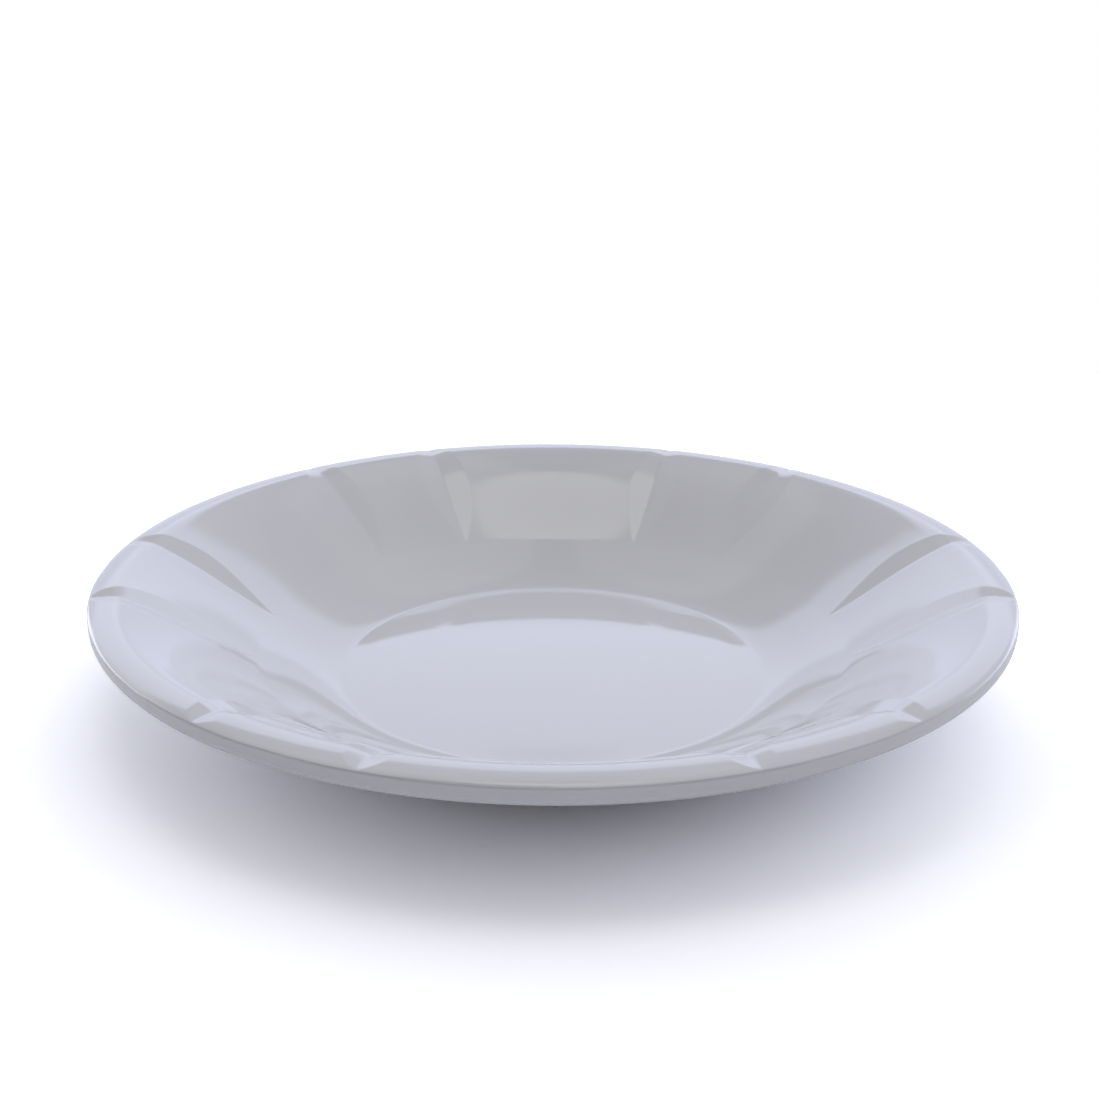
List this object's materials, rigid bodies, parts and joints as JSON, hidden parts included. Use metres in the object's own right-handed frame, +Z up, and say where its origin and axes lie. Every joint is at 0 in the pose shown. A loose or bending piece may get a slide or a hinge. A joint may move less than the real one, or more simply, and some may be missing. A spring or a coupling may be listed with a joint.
{
  "type": "deep plate",
  "caption": "Round deep plate in glossy white melamine, its rim wall panelled by shallow radial grooves, for soup or other food.",
  "frame": {"origin": "centre of the foot ring's standing face", "axes": "+Z up, out of the well; +Y through the middle of a wide rim panel"},
  "size_m": [0.23, 0.23, 0.033],
  "materials": {
    "white_melamine": "compression moulded, bluish white, high gloss",
    "clear_glaze": "clear melamine glaze pressed onto the food side, mirror gloss"
  },
  "bodies": {
    "root": {"moulded_body": "white_melamine", "food_side_glaze": "clear_glaze"}
  },
  "joints": []
}
